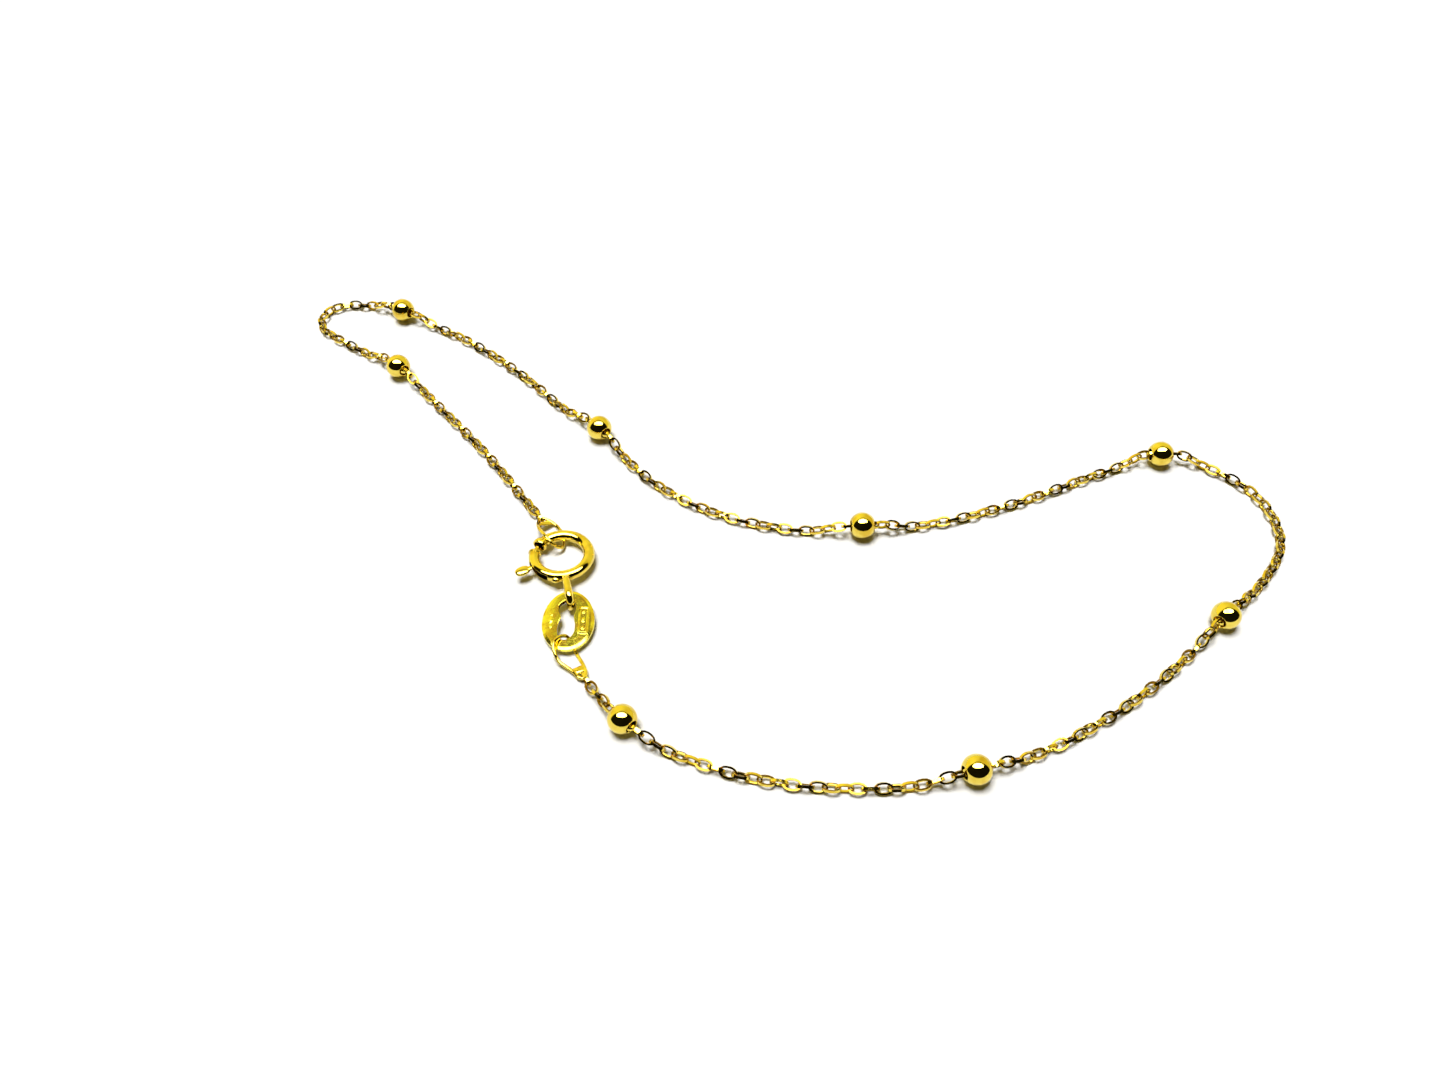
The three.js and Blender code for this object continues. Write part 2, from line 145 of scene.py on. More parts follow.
# The tag: an oval plate, raised at its far end
TAG_PLACE = MM * np.array([-13.74, -11.53, 0.75])
TAG_TILT = 6.0
TAG_HALF = (1.85 * MM, 2.4 * MM)
TAG_THICK = 0.4 * MM
TAG_CROWN = math.radians(12)
TAG_RAYS = 360
TAG_BEVEL = {"width": 0.22 * MM, "drop": 0.06 * MM}
# Its slot, across and along the plate in millimetres, from the top end clockwise
TAG_SLOT = [
    (-0.12, 1.68), (0.36, 1.52), (0.54, 1.02), (0.4, 0.3), (0.52, -0.45), (0.45, -1.05), (0.1, -1.5),
    (-0.35, -1.52), (-0.64, -1.1), (-0.66, -0.35), (-0.5, 0.25), (-0.7, 0.75), (-0.68, 1.25),
]
SLOT_MIDDLE = (-0.08, 0.0)
PANEL = {"middle": (1.09, 0.02), "half": (0.33, 1.05), "corner": 0.16}
# Small plain bosses on the tag in millimetres: across, along, radius across, radius along
BOSSES = [
    (1.09, 0.66, 0.12, 0.12), (1.09, 0.02, 0.12, 0.2), (1.09, -0.62, 0.12, 0.12),
    (-1.2, 0.48, 0.1, 0.1), (-1.22, 0.0, 0.14, 0.24), (-1.2, -0.5, 0.1, 0.1),
]

# Wire of each jump ring in millimetres, from its end at the chain round and back
TAG_JUMP = [
    (-12.27, -16.0, 0.38), (-12.67, -15.92, 0.37), (-13.0, -15.54, 0.35), (-13.5, -15.14, 0.36),
    (-14.08, -14.75, 0.5), (-14.42, -14.2, 0.84), (-14.52, -13.65, 1.0), (-14.3, -13.15, 1.0),
    (-13.9, -12.8, 0.8), (-13.62, -12.75, 0.4), (-13.35, -13.2, 0.15), (-12.98, -13.9, 0.14),
    (-12.52, -14.7, 0.2), (-12.26, -15.3, 0.3), (-12.2, -15.6, 0.36),
]
RING_JUMP = [
    (-16.84, -1.63, 0.4), (-16.89, -2.04, 0.48), (-16.86, -2.5, 0.7), (-16.76, -2.95, 0.96),
    (-16.55, -3.45, 1.2), (-16.12, -4.1, 1.38), (-15.67, -4.62, 1.24), (-15.22, -4.72, 0.75),
    (-14.85, -4.45, 0.36), (-14.85, -3.75, 0.145), (-15.1, -2.85, 0.145), (-15.55, -2.2, 0.165),
    (-16.05, -1.82, 0.25), (-16.46, -1.66, 0.36),
]

# Where the web of solder between a jump ring's strands starts and ends, along the wire
JUMP_WEB = (0.68 * MM, 1.3 * MM)

# Stage, in metres: half the floor's side, how far it lies below the pieces, and where the
# panel that the gold mirrors and the lamp that lights the floor hang, with their sizes
FLOOR_HALF = 0.4
FLOOR_DROP = 5 * MICRON
PANEL_LIGHT = {"place": (-0.02, -0.015, 0.6), "size": (0.9, 0.39)}
FLOOR_LIGHT = {"place": (-1.5, 1.0, 10.0), "size": (5.0, 5.0)}

# Camera: where it stands, the floor point that it looks at, and its lens in millimetres
CAMERA_PLACE = MM * np.array([-2.853, -55.358, 61.513])
CAMERA_AIM = MM * np.array([-2.853, -3.742, 0.0])
CAMERA_LENS = 26.53


# Small sums on whole arrays

def linear(hex_colour):
    """An sRGB hex colour as linear red, green, blue and alpha."""
    parts = np.array([int(hex_colour[i:i + 2], 16) / 255 for i in (1, 3, 5)])
    low, high = parts / 12.92, ((parts + 0.055) / 1.055) ** 2.4
    return (*np.where(parts <= 0.04045, low, high).tolist(), 1.0)


def unit(vectors):
    """Each vector divided by its own length."""
    return vectors / np.linalg.norm(vectors, axis=-1, keepdims=True)


def smooth(share):
    """The S-shaped ease 3s^2 - 2s^3 of a share held between 0 and 1."""
    held = np.clip(share, 0.0, 1.0)
    return held * held * (3 - 2 * held)


def full_turn(steps):
    """Angles once round, evenly spaced from 0."""
    return np.linspace(0, 2 * np.pi, steps, endpoint=False)


def ellipses(one, other, turn):
    """An ellipse for each pair of half-axes: one cos t + other sin t at each angle t."""
    return one[:, None] * np.cos(turn)[None, :, None] + other[:, None] * np.sin(turn)[None, :, None]


def spline(rows, steps, closed=False):
    """A uniform Catmull-Rom curve: each span is the cubic that leaves a point along half the
    way between its two neighbours. An open curve's ends use a point mirrored past the end."""
    rows = np.asarray(rows, float)
    if closed:
        padded = np.vstack([rows[-1:], rows, rows[:2]])
    else:
        padded = np.vstack([2 * rows[0] - rows[1], rows, 2 * rows[-1] - rows[-2]])
    a, b, c, d = padded[:-3, None], padded[1:-2, None], padded[2:-1, None], padded[3:, None]
    t = (np.arange(steps) / steps)[None, :, None]
    spans = 0.5 * (
        2 * b + (c - a) * t + (2 * a - 5 * b + 4 * c - d) * t**2 + (3 * b - a - 3 * c + d) * t**3
    )
    points = spans.reshape(-1, rows.shape[1])
    return points if closed else np.vstack([points, rows[-1:]])


def lengths_along(points):
    """Distance from the first point to each point, along the line through them."""
    return np.concatenate([[0.0], np.cumsum(np.linalg.norm(np.diff(points, axis=0), axis=1))])


def at_lengths(points, where):
    """The points of a line at given distances from its start."""
    lengths = lengths_along(points)
    return np.stack([np.interp(where, lengths, column) for column in points.T], axis=1)


def evenly(curve, count):
    """Points set evenly along a closed curve."""
    closed = np.vstack([curve, curve[:1]])
    return at_lengths(closed, np.linspace(0, lengths_along(closed)[-1], count, endpoint=False))


def tangents(points, closed=False):
    """The way a line runs at each point: from the point before it to the point after it."""
    if closed:
        return unit(np.roll(points, -1, axis=0) - np.roll(points, 1, axis=0))
    return unit(np.gradient(points, axis=0))


def turned(points, tilt, place):
    """Points turned about the X axis by a tilt in degrees, and then moved to a place."""
    c, s = math.cos(math.radians(tilt)), math.sin(math.radians(tilt))
    return points @ np.array([[1, 0, 0], [0, c, s], [0, -s, c]]) + place + CENTRING


# Surfaces: each is a grid of points and the four-cornered faces between them

def grid_faces(rows, columns, close_rows=False):
    """Faces between neighbouring points of a grid. Each row wraps round, and the last row
    meets the first one where the rows close."""
    i, j = np.meshgrid(
        np.arange(rows if close_rows else rows - 1), np.arange(columns), indexing="ij")
    after_i, after_j = (i + 1) % rows, (j + 1) % columns
    here, below = i * columns, after_i * columns
    return np.stack([here + j, here + after_j, below + after_j, below + j], axis=-1).reshape(-1, 4)


def tube(line, radii, sides, closed=False, normal=UP, flat=1.0):
    """A round bar along a line: a circle of the line's radius at each point, in the plane
    across the line, with flat squeezing it along the given normal."""
    along = tangents(line, closed)
    across = unit(np.cross(along, normal))
    over = np.cross(across, along)
    reach = np.broadcast_to(radii, (len(line),))[:, None, None]
    points = line[:, None] + reach * ellipses(across, over * flat, full_turn(sides))
    return points.reshape(-1, 3), grid_faces(len(line), sides, closed)


def turned_profile(radius, height, sides):
    """A surface of revolution: a closed profile (radius, height) carried round the Z axis."""
    turn = full_turn(sides)
    points = np.stack([
        radius[:, None] * np.cos(turn),
        radius[:, None] * np.sin(turn),
        np.broadcast_to(height[:, None], (len(height), sides)),
    ], axis=-1)
    return points.reshape(-1, 3), grid_faces(len(radius), sides, close_rows=True)


def signed_power(values, power):
    """Each value raised to a power, with its sign kept."""
    return np.sign(values) * np.abs(values) ** power


def lump(middle, axes, plan=1.0, rings=17, sides=32, dish=0.0):
    """A rounded lump: middle plus three half-axes scaled by the cosines and sines of a
    sphere's two angles. The turn's are raised to the plan's power, below 1 where the outline
    is squarer. A dish hollows the top by its share of the height, less as the square of the
    distance from the middle."""
    rise = np.linspace(-np.pi / 2, np.pi / 2, rings)
    turn = full_turn(sides)
    ease, lift = np.abs(np.cos(rise)), np.sin(rise)
    lift = np.where(lift > 0, lift * (1 - dish * (1 - ease**2)), lift)
    long, wide = signed_power(np.cos(turn), plan), signed_power(np.sin(turn), plan)
    shares = np.broadcast_arrays(ease[:, None] * long, ease[:, None] * wide, lift[:, None])
    points = middle + np.stack(shares, axis=-1) @ axes
    return points.reshape(-1, 3), grid_faces(rings, sides)


def outward(surface):
    """The surface with its faces turned to point out: the sum of each face's share of the
    enclosed volume is positive when they do."""
    points, faces = surface
    a, b, c, d = (points[faces[:, k]] for k in range(4))
    volume = np.einsum("ij,ij->", a, np.cross(b, c) + np.cross(c, d))
    return points, faces if volume > 0 else faces[:, ::-1]


def joined(surfaces):
    """Several surfaces as one, each with its faces pointing out."""
    points, faces = zip(*(outward(surface) for surface in surfaces))
    starts = np.cumsum([0] + [len(part) for part in points[:-1]])
    return np.vstack(points), np.vstack([part + start for part, start in zip(faces, starts)])


def walled(outer, inner, faces):
    """A wall between two skins with the same faces. The inner skin is turned round, and each
    edge that only one face uses gets a face across to the other skin."""
    count = len(outer)
    start, end = faces, np.roll(faces, -1, axis=1)
    open_edge = ~np.isin(end * count + start, start * count + end)
    rim = np.stack([end, start, start + count, end + count], axis=-1)[open_edge]
    return np.vstack([outer, inner]), np.vstack([faces, faces[:, ::-1] + count, rim])


def add_object(name, data):
    """Puts new data in the scene."""
    thing = bpy.data.objects.new(name, data)
    bpy.context.scene.collection.objects.link(thing)
    return thing


def add_piece(name, surface, material, body, nodes, crease=None, round_edge=None, dull_and_shaded=None):
    """Makes a piece of the bracelet from a surface, with its place in its mesh: smooth but for
    creases above an angle in degrees, with sharp rims rounded off where asked. The last argument
    says how far each face is painted dark, from 0 to 1: painted shade in hollows and between parts."""
    points, faces = surface
    mesh = bpy.data.meshes.new(name)
    mesh.from_pydata(points.tolist(), [], faces.tolist())
    if dull_and_shaded is not None:
        mesh.attributes.new("unpolished_and_shaded", "FLOAT", "FACE").data.foreach_set("value", dull_and_shaded)
    work = bmesh.new()
    work.from_mesh(mesh)
    bmesh.ops.remove_doubles(work, verts=work.verts, dist=0.05 * MICRON)
    bmesh.ops.dissolve_degenerate(work, edges=work.edges, dist=0.01 * MICRON)
    work.to_mesh(mesh)
    work.free()
    mesh.shade_smooth()
    if crease is not None:
        mesh.set_sharp_from_angle(angle=math.radians(crease))
    mesh.materials.append(material)
    piece = add_object(name, mesh)
    if round_edge is not None:
        bevel = piece.modifiers.new("Rounded rims", "BEVEL")
        bevel.width = round_edge
        bevel.segments = 2
        bevel.limit_method = "ANGLE"
        bevel.angle_limit = math.radians(40)
    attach(piece, body)
    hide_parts(*nodes)


# The laid line

ROUTE_POINTS = np.array([(x * MM, y * MM, 0.0) for x, y, bead in ROUTE]) + CENTRING
ROUTE_STEPS = 40
LAID_LINE = spline(ROUTE_POINTS, ROUTE_STEPS)
BEAD_ROWS = [row for row, (x, y, bead) in enumerate(ROUTE) if bead]
STATIONS = lengths_along(LAID_LINE)[np.array(BEAD_ROWS) * ROUTE_STEPS]
LINE_LENGTH = lengths_along(LAID_LINE)[-1]


def laid_points(where):
    """Points of the laid line at distances from its start. Their height eases from the
    beads' middles down to the height of a chain that lies on the surface."""
    points = at_lengths(LAID_LINE, where)
    apart = np.abs(where[:, None] - STATIONS[None]).min(axis=1)
    share = smooth((apart - BEAD_SPAN / 2) / (LIFT_REACH - BEAD_SPAN / 2))
    points[:, 2] = BEAD_RADIUS + (THREAD_HEIGHT - BEAD_RADIUS) * share
    return points


def bead_seats():
    """The middle of each bead and the way its bore runs: the chord between the two points of
    the laid line that lie half a bead's span before and after its station."""
    before = laid_points(STATIONS - BEAD_SPAN / 2)
    after = laid_points(STATIONS + BEAD_SPAN / 2)
    return (before + after) / 2, unit(after - before)


def chain_line():
    """The laid line with its straight stretches inside the beads, its points close enough for
    links to be set along it, and the distance along it of the middle of the meeting bead."""
    fine = np.arange(0.0, LINE_LENGTH, 0.1 * MM)
    clear = np.abs(fine[:, None] - STATIONS[None]).min(axis=1) > BEAD_SPAN / 2
    ends = np.concatenate([STATIONS - BEAD_SPAN / 2, STATIONS + BEAD_SPAN / 2, [LINE_LENGTH]])
    line = laid_points(np.sort(np.concatenate([fine[clear], ends])))
    middles, along = bead_seats()
    nearest = np.argmin(np.linalg.norm(line - middles[MEETING_BEAD - 1], axis=1))
    return line, lengths_along(line)[nearest]


# Finishes

def add_node(tree, kind, inputs=None, **settings):
    """Adds a node with its own settings. Each input is given a value, or the socket of
    another node that feeds it."""
    node = tree.nodes.new(kind)
    for name, value in settings.items():
        setattr(node, name, value)
    for socket, value in (inputs or {}).items():
        if isinstance(value, bpy.types.NodeSocket):
            tree.links.new(value, node.inputs[socket])
        else:
            node.inputs[socket].default_value = value
    return node


def tone(value):
    """A colour setting as red, green, blue and alpha."""
    return (*value, 1.0)


def gold(name, bright, deep, roughness, patch, grain, depth, raw_and_shaded=None):
    """A worked gold surface. Patches of a deeper gold come and go over the bright one at the
    patch size, the polish varies from roughness to half as much again, and fine marks of
    the grain size are cut to the given depth. Sizes are in metres. Faces whose painted-shade
    attribute is above 0 go over to the dark colour given last, where one is given: painted shade
    in hollows and between parts, on the links partly the matt of their cut edges."""
    material = bpy.data.materials.new(name)
    material.use_nodes = True
    tree = material.node_tree
    tree.nodes.clear()
    place = add_node(tree, "ShaderNodeTexCoord").outputs["Object"]
    patches = add_node(tree, "ShaderNodeTexNoise", {
        "Vector": place, "Scale": 1 / patch, "Detail": 2.0, "Roughness": 0.5,
    })
    warmth = add_node(tree, "ShaderNodeMapRange", {
        "Value": patches.outputs["Fac"], "From Min": 0.4, "From Max": 0.7,
    }, interpolation_type="SMOOTHSTEP")
    # A Mix node's colour sockets are its seventh and eighth, and its colour result its third.
    colour = add_node(tree, "ShaderNodeMix", {
        0: warmth.outputs["Result"], 6: tone(bright), 7: tone(deep),
    }, data_type="RGBA")
    if raw_and_shaded is not None:
        dull_and_shaded = add_node(tree, "ShaderNodeAttribute", attribute_name="unpolished_and_shaded")
        colour = add_node(tree, "ShaderNodeMix", {
            0: dull_and_shaded.outputs["Fac"], 6: colour.outputs[2], 7: tone(raw_and_shaded),
        }, data_type="RGBA")
    polish = add_node(tree, "ShaderNodeMapRange", {
        "Value": patches.outputs["Fac"], "From Min": 0.3, "From Max": 0.7,
        "To Min": roughness, "To Max": 1.5 * roughness,
    })
    marks = add_node(tree, "ShaderNodeTexNoise", {
        "Vector": place, "Scale": 1 / grain, "Detail": 3.0, "Roughness": 0.6,
    })
    bump = add_node(tree, "ShaderNodeBump", {
        "Height": marks.outputs["Fac"], "Strength": 1.0, "Distance": depth,
    })
    shader = add_node(tree, "ShaderNodeBsdfPrincipled", {
        "Base Color": colour.outputs[2], "Metallic": 1.0,
        "Roughness": polish.outputs["Result"], "Normal": bump.outputs["Normal"],
    })
    add_node(tree, "ShaderNodeOutputMaterial", {"Surface": shader.outputs["BSDF"]})
    return material


# Settings that a user would change

class BraceletBeads(bpy.types.PropertyGroup):
    """Sizes of the drilled beads."""
    bore: bpy.props.FloatProperty(
        name="Bore radius", description="Radius of the hole that the chain runs through",
        default=0.45 * MM, min=0.42 * MM, max=0.6 * MM, unit="LENGTH", precision=5)
    lip: bpy.props.FloatProperty(
        name="Lip", description="Radius that rounds the mouth of the bore",
        default=0.05 * MM, min=0.01 * MM, max=0.1 * MM, unit="LENGTH", precision=5)


class BraceletChain(bpy.types.PropertyGroup):
    """Sizes of the links."""
    length: bpy.props.FloatProperty(
        name="Link length", description="Outer length of one link",
        default=1.25 * MM, min=1.0 * MM, max=2.0 * MM, unit="LENGTH", precision=5)
    width: bpy.props.FloatProperty(
        name="Link width", description="Outer width of one link",
        default=0.8 * MM, min=0.6 * MM, max=0.86 * MM, unit="LENGTH", precision=5)
    wire: bpy.props.FloatProperty(
        name="Wire thickness", description="Thickness of the flat wire in the link's own plane",
        default=0.135 * MM, min=0.08 * MM, max=0.2 * MM, unit="LENGTH", precision=5)
    ribbon: bpy.props.FloatProperty(
        name="Wire width", description="Width of the flat wire across the link's plane",
        default=0.19 * MM, min=0.1 * MM, max=0.3 * MM, unit="LENGTH", precision=5)
    pitch: bpy.props.FloatProperty(
        name="Pitch", description="Distance from one link's middle to the next one's",
        default=0.82 * MM, min=0.7 * MM, max=0.95 * MM, unit="LENGTH", precision=5)
    twist: bpy.props.FloatProperty(
        name="Twist", description="How far each link is rolled on from the one before",
        default=math.radians(74), min=math.radians(68), max=math.radians(112), unit="ROTATION")
    play: bpy.props.FloatProperty(
        name="Play", description="How far a link may stray from its place in the twist",
        default=math.radians(1.0), min=0.0, max=math.radians(4), unit="ROTATION")


class BraceletClasp(bpy.types.PropertyGroup):
    """Sizes of the bolt ring, the tag and the jump rings."""
    rim: bpy.props.FloatProperty(
        name="Rim rounding", description="How far the tube's cut rims are rounded off",
        default=0.025 * MM, min=0.005 * MM, max=0.04 * MM, unit="LENGTH", precision=5)
    relief: bpy.props.FloatProperty(
        name="Relief", description="Height of the tag's raised panel and bosses",
        default=0.07 * MM, min=0.0, max=0.09 * MM, unit="LENGTH", precision=5)
    edge: bpy.props.FloatProperty(
        name="Tag edge", description="Radius that rounds the tag's edges",
        default=0.055 * MM, min=0.02 * MM, max=0.15 * MM, unit="LENGTH", precision=5)
    wire: bpy.props.FloatProperty(
        name="Jump ring wire", description="Radius of the jump rings' wire",
        default=0.13 * MM, min=0.06 * MM, max=0.15 * MM, unit="LENGTH", precision=5)


class BraceletFinish(bpy.types.PropertyGroup):
    """Colours of the gold."""
    bright: bpy.props.FloatVectorProperty(
        name="Bright gold", description="Colour of the polished gold where it is cleanest",
        default=linear("#ECD45C")[:3], min=0.0, max=1.0, subtype="COLOR")
    deep: bpy.props.FloatVectorProperty(
        name="Deep gold", description="Colour of the gold where handling has warmed it",
        default=linear("#D8B63C")[:3], min=0.0, max=1.0, subtype="COLOR")
    # The links' edges and inner slopes: partly the matt of the saw's cut, partly painted shade where
    # the links meet
    sawn_and_shaded: bpy.props.FloatVectorProperty(
        name="Sawn gold", description="Colour of the links' cut edges",
        default=linear("#8A6A22")[:3], min=0.0, max=1.0, subtype="COLOR")
    # Painted shade: the dark brown given inside the tube's bore and on the tag's slot wall
    raw_and_shaded: bpy.props.FloatVectorProperty(
        name="Raw gold", description="Colour inside the tube's bore and the tag's slot",
        default=linear("#4A3312")[:3], min=0.0, max=1.0, subtype="COLOR")
    lemon: bpy.props.FloatVectorProperty(
        name="Tag gold", description="Greener colour of the stamped tag's alloy",
        default=linear("#F1E450")[:3], min=0.0, max=1.0, subtype="COLOR")


class BraceletStage(bpy.types.PropertyGroup):
    """Floor, light and room round the bracelet."""
    floor: bpy.props.FloatVectorProperty(
        name="Floor", description="Colour of the plain floor",
        default=linear("#E6E6E6")[:3], min=0.0, max=1.0, subtype="COLOR")
    overhead: bpy.props.FloatProperty(
        name="Overhead panel", description="Brightness of the soft panel that the gold mirrors",
        default=12.0, min=0.0, max=50.0)
    lamp: bpy.props.FloatProperty(
        name="Overhead lamp", description="Brightness of the lamp that lights the floor",
        default=23.0, min=0.0, max=100.0)
    room: bpy.props.FloatProperty(
        name="Room light", description="Brightness of the pale walls behind the bracelet",
        default=1.0, min=0.0, max=5.0)


# Operators

class BRACELET_OT_beads(bpy.types.Operator):
    """Add the eight drilled beads"""
    bl_idname = "bracelet.beads"
    bl_label = "Beads"

    def execute(self, context):
        sizes, colours = context.scene.bracelet_beads, context.scene.bracelet_finish
        # Ball-polished 9 to 14 carat gold: a mirror that barely blurs, with faint swirls
        material = gold(
            "ball_polished_yellow_gold", colours.bright, colours.deep,
            roughness=0.035, patch=0.9 * MM, grain=0.12 * MM, depth=0.3 * MICRON)
        profile = bead_profile(sizes.bore, sizes.lip)
        middles, along = bead_seats()
        for name, middle, bore in zip(BEAD_NODES, middles, along):
            add_piece(name + "_ball", bead_surface(profile, middle, bore), material,
                      "bracelet", [name], crease=60)
        return {"FINISHED"}


def bead_profile(bore, lip):
    """Radius and place along the bore of a drilled ball's section: the ball's arc between its
    two mouths, a small round lip at each, and the straight wall of the bore."""
    # The lip's circle touches the bore's wall from outside and the ball's arc from inside.
    lip_reach = bore + lip
    lip_along = math.sqrt((BEAD_RADIUS - lip) ** 2 - lip_reach**2)
    mouth = math.atan2(lip_reach, lip_along)
    arc = np.linspace(mouth, np.pi - mouth, 57)
    lip_turn = np.linspace(mouth, -np.pi / 2, 9)
    upper = np.stack([
        lip_reach + lip * np.sin(lip_turn),
        lip_along + lip * np.cos(lip_turn),
    ], axis=1)[1:]
    wall = np.stack([np.full(9, bore), np.linspace(lip_along, -lip_along, 9)], axis=1)[1:-1]
    outer = np.stack([BEAD_RADIUS * np.sin(arc), BEAD_RADIUS * np.cos(arc)], axis=1)
    return np.vstack([outer, upper * (1, -1), wall[::-1], upper[::-1]])


def bead_surface(profile, middle, bore):
    """The ball's section carried round the way that its bore runs."""
    points, faces = turned_profile(profile[:, 0], profile[:, 1], 96)
    side = unit(np.cross(bore, UP))
    basis = np.stack([side, np.cross(bore, side), bore])
    return outward((points @ basis + middle, faces))


def link_surface(sizes):
    """One link about the origin, long in X and lying in the XY plane: a six-sided flat wire
    carried round an oval. The oval is a superellipse of power 2.15, a little squarer than an
    ellipse, so that its neighbours' wires have room at its ends. The wire has a flat outer
    face, two flat edges that lie in the link's plane, and a narrower face inside."""
    turn = full_turn(LINK_STEPS)
    half = np.array([sizes.length - sizes.wire, sizes.width - sizes.wire]) / 2
    circle = np.stack([np.cos(turn), np.sin(turn)], axis=1)
    oval = half * signed_power(circle, 2 / 2.15)
    run = unit(np.roll(oval, -1, axis=0) - np.roll(oval, 1, axis=0))
    out = np.stack([run[:, 1], -run[:, 0]], axis=1)
    depth = sizes.wire * LINK_SECTION[:, 0]
    width = sizes.ribbon * LINK_SECTION[:, 1]
    flat = oval[:, None] + out[:, None] * depth[None, :, None]
    across = np.broadcast_to(width[None, :, None], (LINK_STEPS, len(LINK_SECTION), 1))
    points = np.concatenate([flat, across], axis=2)
    return outward((points.reshape(-1, 3), grid_faces(LINK_STEPS, len(LINK_SECTION), close_rows=True)))


def link_rolls(sizes, where):
    """How far each link is rolled about the chain: the sum of an even twist from link to link
    and a slow swell of a cosine's shape, with a little play. In the tight stretch the twist
    eases to a quarter turn and follows the lean, so that links show half edge-on there. What
    the sum is out by, at the first fully tight link and at the last link, is taken away evenly
    along the links. The last link then hangs in its jump ring as the first one does."""
    number, along = np.arange(len(where)), where / MM
    random = np.random.default_rng(7)
    distance, edge_on = np.array(TIGHT).T
    tight = smooth((along - distance[0]) / TIGHT_EASE) * smooth((distance[-1] - along) / TIGHT_EASE)
    lean = np.radians(np.interp(along, distance, edge_on))
    swell = SWELL["roll"] * np.cos(number * SWELL["per_link"])
    turn = (1 - tight) * (sizes.twist + swell) + tight * (np.pi / 2 + np.gradient(lean))
    roll = END_ROLL + np.cumsum(turn) - turn[0] + sizes.play * random.uniform(-1, 1, len(where))
    entry = int(np.argmax(tight))
    at_entry = (roll[entry] - lean[entry]) % (np.pi / 2) - np.pi / 4
    at_end = (roll[-1] - END_ROLL + np.pi / 2) % np.pi - np.pi / 2
    return roll - np.interp(number, [0, entry, number[-1]], [0.0, at_entry, at_end])


def link_run(sizes, where, line, roll):
    """Links set along a line with their middles at given distances. Each lies along the line,
    rolled about it, and one that would reach through the surface is lifted on to it."""
    points, faces = link_surface(sizes)
    middles = at_lengths(line, where)
    step = sizes.pitch / 2
    along = unit(at_lengths(line, where + step) - at_lengths(line, where - step))
    level = unit(np.cross(along, UP))
    over = np.cross(level, along)
    side = level * np.cos(roll)[:, None] + over * np.sin(roll)[:, None]
    normal = np.cross(along, side)
    reach = sizes.width / 2 * np.abs(np.sin(roll)) + 0.5 * sizes.ribbon * np.abs(np.cos(roll))
    middles[:, 2] = np.maximum(middles[:, 2], reach + LINK_CLEARANCE)
    placed = middles[:, None] + points @ np.stack([along, side, normal], axis=1)
    every = faces[None] + (np.arange(len(where)) * len(points))[:, None, None]
    return placed.reshape(-1, 3), every.reshape(-1, 4)


class BRACELET_OT_chain(bpy.types.Operator):
    """Add the links of the chain, as two runs that meet inside the fourth bead"""
    bl_idname = "bracelet.chain"
    bl_label = "Chain"

    def execute(self, context):
        sizes, colours = context.scene.bracelet_chain, context.scene.bracelet_finish
        # Rolled flat wire, cut and soldered: bright faces round each link, and its edges and inner
        # slopes painted dark, partly the saw's matt cut and partly painted shade between the links
        material = gold(
            "rolled_and_cut_yellow_gold", colours.bright, colours.deep,
            roughness=0.06, patch=0.7 * MM, grain=0.08 * MM, depth=0.8 * MICRON,
            raw_and_shaded=colours.sawn_and_shaded)
        line, meeting = chain_line()
        start, end = unit(line[0] - line[5]), unit(line[-1] - line[-6])
        line = np.vstack([line[0] + start * CARRIED_ON, line, line[-1] + end * CARRIED_ON])
        last = lengths_along(line)[-1] - LAST_LINK
        where = np.linspace(FIRST_LINK, last, int(round((last - FIRST_LINK) / sizes.pitch)) + 1)
        near = where < meeting + CARRIED_ON
        roll = link_rolls(sizes, where)
        runs = (("chain_near_links", near, "chain_near"), ("chain_far_links", ~near, "chain_far"))
        for name, run, node in runs:
            links = link_run(sizes, where[run], line, roll[run])
            add_piece(name, links, material, "bracelet", [node], crease=44,
                      dull_and_shaded=np.tile(LINK_SHADE_AND_SAW, len(links[1]) // len(LINK_SHADE_AND_SAW)))
        return {"FINISHED"}


def ring_line(radius, angles):
    """Points of a circle about Z at given angles in degrees, or one point at one angle."""
    turn = np.radians(angles)
    return np.stack([radius * np.cos(turn), radius * np.sin(turn), np.zeros_like(turn)], axis=-1)


def ring_tube():
    """The hollow tube: circles of the tube's outer radius carried round the ring, with the
    cells over the slot left out, walled down to the bore, which flares at the collar."""
    angles, radii = [], []
    for (start, radius), (end, next_radius) in zip(TUBE_STATIONS, TUBE_STATIONS[1:]):
        steps = max(1, math.ceil((end - start) / TUBE_STEP))
        angles.append(np.linspace(start, end, steps, endpoint=False))
        radii.append(np.linspace(radius, next_radius, steps, endpoint=False))
    angles = np.concatenate(angles + [[TUBE_STATIONS[-1][0]]])
    radii = np.concatenate(radii + [[TUBE_STATIONS[-1][1]]]) * MM
    out = ring_line(1.0, angles)
    section = ellipses(out, UP[None], full_turn(TUBE_SIDES))
    line = RING_RADIUS * out[:, None]
    outer = line + radii[:, None, None] * section
    flare = smooth((angles - MOUTH_ANGLES[0]) / (MOUTH_ANGLES[1] - MOUTH_ANGLES[0]))
    inner = line + (BORE_RADIUS + (MOUTH_RADIUS - BORE_RADIUS) * flare)[:, None, None] * section
    faces = grid_faces(len(angles), TUBE_SIDES)
    row, column = np.divmod(faces[:, 0], TUBE_SIDES)
    in_slot = (angles[row] >= SLOT_ANGLES[0]) & (angles[row] < SLOT_ANGLES[1])
    facing_out = (column < SLOT_HALF_SIDES) | (column >= TUBE_SIDES - SLOT_HALF_SIDES)
    return walled(outer.reshape(-1, 3), inner.reshape(-1, 3), faces[~(in_slot & facing_out)])


